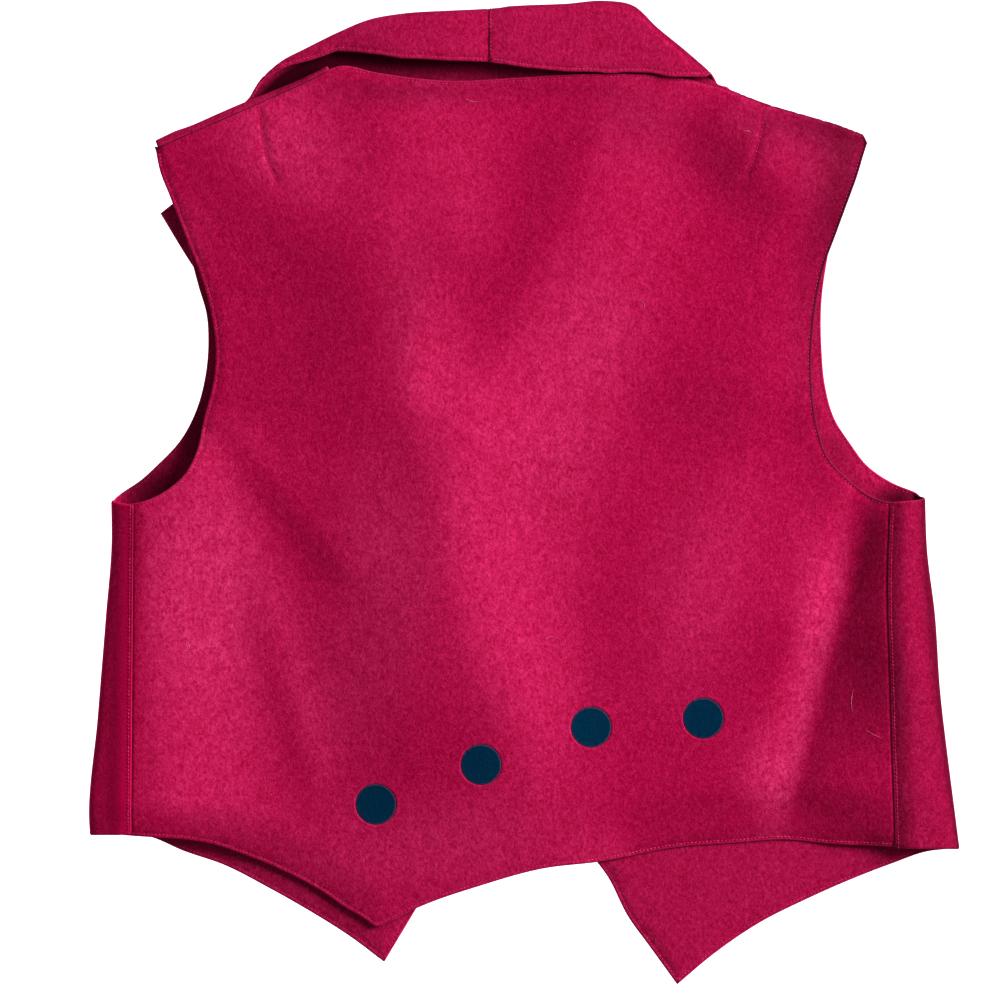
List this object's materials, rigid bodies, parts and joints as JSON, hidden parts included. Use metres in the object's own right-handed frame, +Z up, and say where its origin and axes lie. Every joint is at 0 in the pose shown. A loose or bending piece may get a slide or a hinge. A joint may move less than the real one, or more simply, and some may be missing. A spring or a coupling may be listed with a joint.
{
  "type": "vest",
  "caption": "Short sleeveless felt vest laid face down, with pointed front hems, a turned-down collar, a peaked back hem and round inset discs.",
  "frame": {"origin": "centre of the bounding box on the floor plane that the vest lies on", "axes": "+X to the right as seen from above, which is the wearer's right; +Y towards the collar; +Z up from the floor, out of the vest's back"},
  "size_m": [0.5221, 0.5907, 0.0244],
  "materials": {
    "crimson_felt": "matt",
    "navy_felt": "matt"
  },
  "bodies": {
    "root": {"back": "crimson_felt", "front_left": "crimson_felt", "front_right": "crimson_felt", "collar_left": "crimson_felt", "collar_right": "crimson_felt", "disc_1": "navy_felt", "disc_2": "navy_felt", "disc_3": "navy_felt", "disc_4": "navy_felt"}
  },
  "joints": []
}
